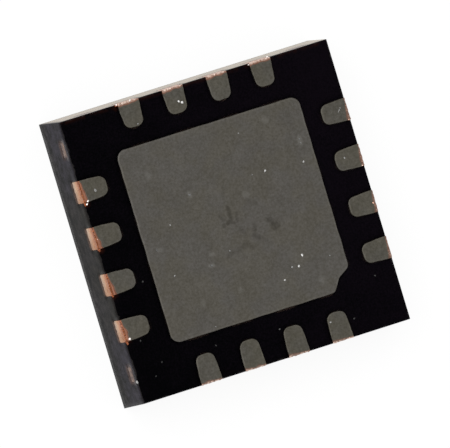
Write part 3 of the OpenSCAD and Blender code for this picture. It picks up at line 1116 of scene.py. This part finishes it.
def speck_skins(pixels, height, seed):
    """Specks at these pixels [x, y, micrometres, tone from 0 dark to 1 white], half sunk at a height."""
    draw = np.random.default_rng(seed)
    spots = np.array(pixels, float)
    skins = []
    for k, centre in enumerate(at_pixel(spots[:, :2], height)):
        half = spots[k, 2] * MICROMETRE / 2
        angle = draw.uniform(0, np.pi)
        long, wide = half * draw.uniform(*SPECK_LONG), half * draw.uniform(*SPECK_WIDE)
        axes = np.array([[math.cos(angle) * long, math.sin(angle) * long, 0],
                         [-math.sin(angle) * wide, math.cos(angle) * wide, 0], [0, 0, SPECK_HIGH * half]])
        skins.append(lump_skin(centre + UP * SPECK_LIFT * half, axes, seed + k, SPECK_ROUGH, spots[k, 3]))
    return skins


DUST_ON_METAL = [
    (302, 255, 28, 0.95), (298.8, 266, 27, 0.75), (303.3, 161.6, 26, 0.50), (264.9, 170.8, 30, 0.60),
    (178.6, 101.4, 30, 0.95), (182, 102.4, 30, 0.95), (137.8, 123.8, 20, 0.32), (95.2, 190.4, 40, 0.30),
    (338.4, 111.8, 16, 0.36), (339, 110.2, 18, 0.40), (339.9, 108, 16, 0.28), (344.4, 157.8, 22, 0.36),
    (330.4, 322.2, 24, 0.38), (238.4, 133.1, 18, 0.38), (170.1, 225.1, 19, 0.38), (174.6, 275.7, 18, 0.36),
    (284.7, 280.1, 24, 0.70), (292, 267, 27, 0.36), (252, 174.9, 20, 0.24), (189.6, 194.9, 32, 0.17),
    (211.8, 265.6, 34, 0.15), (229.8, 250.9, 20, 0.24), (215.6, 326.8, 18, 0.24), (329.7, 255.5, 20, 0.23),
    (299.3, 138.8, 24, 0.16), (300.7, 142.8, 20, 0.20), (156.8, 250.4, 26, 0.125)]
DUST_ON_MOULD = [
    (142.5, 281.6, 22, 0.035), (161.9, 362, 22, 0.022), (156, 376.2, 20, 0.018), (216, 345.5, 20, 0.024),
    (140.4, 340.8, 22, 0.035), (279.5, 329.1, 22, 0.090), (354, 318.6, 22, 0.045), (375, 275.6, 20, 0.032),
    (136.9, 382.0, 34, 0.45)]
DUST_ON_SIDE = [(60.4, 182.0, 22, 0.30), (62.3, 189.0, 16, 0.16)]
SIDE_DUST_Z = 0.06
# Burr beads [x, y, micrometres, tone]: their pale to white tones are painted glints
GLINT_BEADS = [
    (87.8, 201.2, 26, 0.9), (86.9, 204.3, 28, 1.0), (129.7, 339.0, 32, 0.9), (97.4, 239.3, 18, 0.2),
    (116.2, 104.9, 26, 1.0), (129.7, 100.4, 28, 0.9), (248.6, 64.8, 20, 0.7), (267.2, 57, 26, 0.95),
    (348.9, 119.6, 16, 0.0), (362.4, 165.4, 18, 0.2), (373.2, 202.8, 20, 0.1)]
BEAD_SEED = 400
# Where dust lies: its specks, their height and a seed
DUST = [(DUST_ON_METAL, LAND_Z, 500), (DUST_ON_MOULD, MOULD_Z, 700), (DUST_ON_SIDE, SIDE_DUST_Z, 900)]

# Burr tails: half axes, two of them between limits, places as shares of these, and seeds
TAIL_LONG = (0.0238, 0.0442)
TAIL_WIDE = (0.0128, 0.0208)
TAIL_HIGH = 0.010
TAIL_IN = 0.7
TAIL_PAST = 0.2
TAIL_LIFT = 0.4
TAIL_ROUGH = 0.16
TAIL_SEED = 300
TAIL_LUMP_SEED = 320


def burr_tail(number):
    """Copper that the saw dragged past a land's trailing corner: a long uneven lump on the edge."""
    side = lead_place(number)[0]
    draw = np.random.default_rng(TAIL_SEED + number)
    long, wide = draw.uniform(*TAIL_LONG), draw.uniform(*TAIL_WIDE)
    at = past_corner(number, TAIL_IN * wide, TAIL_PAST * long, MOULD_Z + TAIL_LIFT * TAIL_HIGH)
    axes = np.stack([side.along * long, side.out * wide, UP * TAIL_HIGH])
    return lump_skin(at, axes, TAIL_LUMP_SEED + number, TAIL_ROUGH, draw.uniform(0, 1))


def make_pieces():
    """The terminals and the paddle in place of their nodes, and what lies on them."""
    lead = lead_finish("tinned_lead", LAND_TIN, scuffed=False)
    pad = lead_finish("tinned_pad", PAD_TIN, scuffed=True)
    for number in range(1, len(SIDES) * PER_SIDE + 1):
        lead_piece(number, lead)
    paddle_piece(pad)
    tails = [burr_tail(number) for number in DRAGGED]
    beads = speck_skins(GLINT_BEADS, LAND_Z, BEAD_SEED)
    specks = [skin for spots in DUST for skin in speck_skins(*spots)]
    add_piece("burr_tails", [joined(tails)], burr_finish(), ("tone",))
    add_piece("burr_glint_beads", [joined(beads)], glint_bead_finish(), ("tone",))
    add_piece("dust_specks", [joined(specks)], dust_finish(), ("tone",))


def dress_frame():
    """Finishes for the nodes that stay."""
    wire = inner_finish("wire_gold")
    finishes = {
        "mould_body": mould_finish(),
        "silicon_die": inner_finish("die_silicon"),
        "die_attach": inner_finish("die_epoxy"),
    }
    for name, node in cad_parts.items():
        finish = finishes.get(name, wire if name.startswith("bond_wire") else None)
        if finish:
            node.data.materials.clear()
            node.data.materials.append(finish)


# Studio, with the floor's sizes in metres

WHITE = (1, 1, 1, 1)
FLOOR_WHITE = (0.9, 0.9, 0.9, 1)
FLOOR_HALF = 0.25
FLOOR_DROP = 2e-6
FLOOR_GLOW = 0.86
FLOOR_LEVEL = 1.05
AMBIENT = 0.62
SUN_FROM = (-0.45, 0.35, 0.82)
SUN_STRENGTH = 1.1
SUN_ANGLE = math.radians(50)


def seen_directly(f):
    """1 for rays from the camera, from a glossy surface or through a clear one, and 0 for the rest."""
    kinds = ("Is Camera Ray", "Is Glossy Ray", "Is Transmission Ray")
    camera, glossy, clear = [f.node("ShaderNodeLightPath", out=kind) for kind in kinds]
    return (camera + glossy + clear).least(1.0)


def make_floor():
    """A white floor that glows where it is seen directly, but keeps a faint shadow."""
    f = finish_named("floor_white")
    plain = f.node("ShaderNodeBsdfDiffuse", None, {"Color": FLOOR_WHITE})
    glow = f.node("ShaderNodeEmission", None, {"Color": WHITE, "Strength": FLOOR_LEVEL})
    both = f.node("ShaderNodeMixShader", None, {0: seen_directly(f) * FLOOR_GLOW, 1: plain, 2: glow})
    f.node("ShaderNodeOutputMaterial", None, {"Surface": both})
    mesh = bpy.data.meshes.new("floor")
    corners = np.array([(-1, -1, 0), (1, -1, 0), (1, 1, 0), (-1, 1, 0)]) * FLOOR_HALF - UP * FLOOR_DROP
    mesh.from_pydata(corners.tolist(), [], [(0, 1, 2, 3)])
    mesh.materials.append(f.owner)
    floor = scene_object("floor", mesh)


def make_light():
    """An even surround, white where it is seen directly, and one broad soft light."""
    world = Finish(bpy.data.worlds.new("surround"))
    around = world.node("ShaderNodeBackground", None, {"Color": WHITE, "Strength": AMBIENT})
    behind = world.node("ShaderNodeBackground", None, {"Color": WHITE, "Strength": 1.0})
    both = world.node("ShaderNodeMixShader", None, {0: seen_directly(world), 1: around, 2: behind})
    world.node("ShaderNodeOutputWorld", None, {"Surface": both})
    bpy.context.scene.world = world.owner

    lamp = bpy.data.lights.new("soft_light", "SUN")
    lamp.energy = SUN_STRENGTH
    lamp.angle = SUN_ANGLE
    sun = scene_object("soft_light", lamp)
    sun.rotation_mode = "QUATERNION"
    sun.rotation_quaternion = Vector(SUN_FROM).to_track_quat("Z", "Y")
    bpy.context.scene.view_settings.view_transform = "Standard"


make_camera()
make_pieces()
dress_frame()
make_floor()
make_light()
